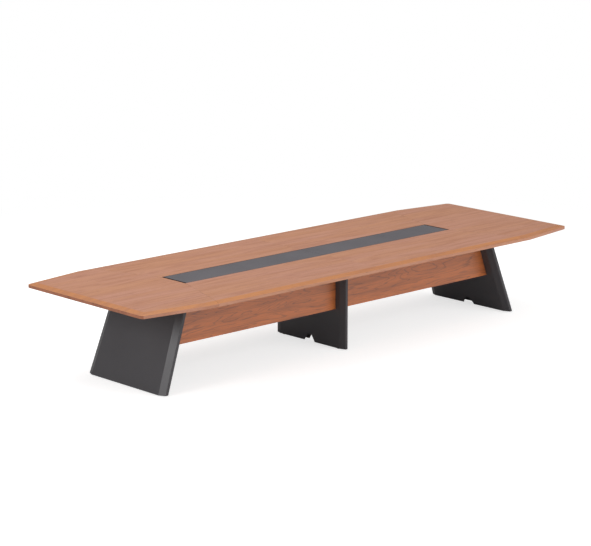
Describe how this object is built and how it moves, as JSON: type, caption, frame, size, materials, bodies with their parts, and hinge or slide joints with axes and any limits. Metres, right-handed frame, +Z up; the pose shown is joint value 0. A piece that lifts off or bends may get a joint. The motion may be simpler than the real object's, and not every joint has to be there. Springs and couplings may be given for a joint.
{
  "type": "conference table",
  "caption": "Long conference table with a bevelled wood top, hinged grey lids over a cable slot, wood aprons and leaning dark steel legs.",
  "frame": {"origin": "on the floor under the middle of the table", "axes": "+X along the table, +Y from front to back, +Z up"},
  "size_m": [4.8, 1.6, 0.76],
  "materials": {
    "top_wood": "satin lacquer on walnut veneer",
    "apron_wood": "satin lacquer on walnut veneer",
    "lid_laminate": "matte grey laminate on board",
    "leg_paint": "satin dark grey powder coat on sheet steel",
    "hinge_steel": "rolled continuous hinge",
    "plate_steel": "zinc plated plate",
    "bright_steel": "drawn wire and zinc plated screws",
    "foot_black": "black levelling foot"
  },
  "bodies": {
    "frame": {"tabletop_end_left": "top_wood", "hinge_fixed_leaf_left": "hinge_steel", "hinge_pin_left": "bright_steel", "cable_tray_left": "leg_paint", "tabletop_front_left": "top_wood", "seam_plate_front_left": "plate_steel", "apron_front_left": "apron_wood", "bracket_middle_front_left": "plate_steel", "bracket_end_front_left": "plate_steel", "tabletop_back_left": "top_wood", "seam_plate_back_left": "plate_steel", "apron_back_left": "apron_wood", "bracket_middle_back_left": "plate_steel", "bracket_end_back_left": "plate_steel", "tabletop_end_right": "top_wood", "hinge_fixed_leaf_right": "hinge_steel", "hinge_pin_right": "bright_steel", "cable_tray_right": "leg_paint", "tabletop_front_right": "top_wood", "seam_plate_front_right": "plate_steel", "apron_front_right": "apron_wood", "bracket_middle_front_right": "plate_steel", "bracket_end_front_right": "plate_steel", "tabletop_back_right": "top_wood", "seam_plate_back_right": "plate_steel", "apron_back_right": "apron_wood", "bracket_middle_back_right": "plate_steel", "bracket_end_back_right": "plate_steel", "leg_left_shell": "leg_paint", "leg_left_cover": "leg_paint", "leg_left_plate": "plate_steel", "screw_left_1": "bright_steel", "screw_left_2": "bright_steel", "screw_left_3": "bright_steel", "screw_left_4": "bright_steel", "leg_middle_shell": "leg_paint", "leg_middle_cover": "leg_paint", "leg_middle_plate": "plate_steel", "screw_middle_1": "bright_steel", "screw_middle_2": "bright_steel", "screw_middle_3": "bright_steel", "screw_middle_4": "bright_steel", "leg_right_shell": "leg_paint", "leg_right_cover": "leg_paint", "leg_right_plate": "plate_steel", "screw_right_1": "bright_steel", "screw_right_2": "bright_steel", "screw_right_3": "bright_steel", "screw_right_4": "bright_steel"},
    "lid_left": {"lid_left": "lid_laminate", "hinge_moving_leaf_left": "hinge_steel"},
    "lid_right": {"lid_right": "lid_laminate", "hinge_moving_leaf_right": "hinge_steel"},
    "foot_left_front": {"foot_left_front": "foot_black"},
    "foot_left_back": {"foot_left_back": "foot_black"},
    "foot_middle_front": {"foot_middle_front": "foot_black"},
    "foot_middle_back": {"foot_middle_back": "foot_black"},
    "foot_right_front": {"foot_right_front": "foot_black"},
    "foot_right_back": {"foot_right_back": "foot_black"}
  },
  "joints": [
    {"name": "lid_left_hinge", "type": "hinge", "parent": "frame", "child": "lid_left", "pos_m": [-0.743, 0.1425, 0.757], "axis": [-1, 0, 0], "range_deg": [0, 95]},
    {"name": "lid_right_hinge", "type": "hinge", "parent": "frame", "child": "lid_right", "pos_m": [0.743, 0.1425, 0.757], "axis": [-1, 0, 0], "range_deg": [0, 95]},
    {"name": "foot_left_front_level", "type": "slide", "parent": "frame", "child": "foot_left_front", "axis": [0, 0, -1], "range_m": [0, 0.015]},
    {"name": "foot_left_back_level", "type": "slide", "parent": "frame", "child": "foot_left_back", "axis": [0, 0, -1], "range_m": [0, 0.015]},
    {"name": "foot_middle_front_level", "type": "slide", "parent": "frame", "child": "foot_middle_front", "axis": [0, 0, -1], "range_m": [0, 0.015]},
    {"name": "foot_middle_back_level", "type": "slide", "parent": "frame", "child": "foot_middle_back", "axis": [0, 0, -1], "range_m": [0, 0.015]},
    {"name": "foot_right_front_level", "type": "slide", "parent": "frame", "child": "foot_right_front", "axis": [0, 0, -1], "range_m": [0, 0.015]},
    {"name": "foot_right_back_level", "type": "slide", "parent": "frame", "child": "foot_right_back", "axis": [0, 0, -1], "range_m": [0, 0.015]}
  ]
}
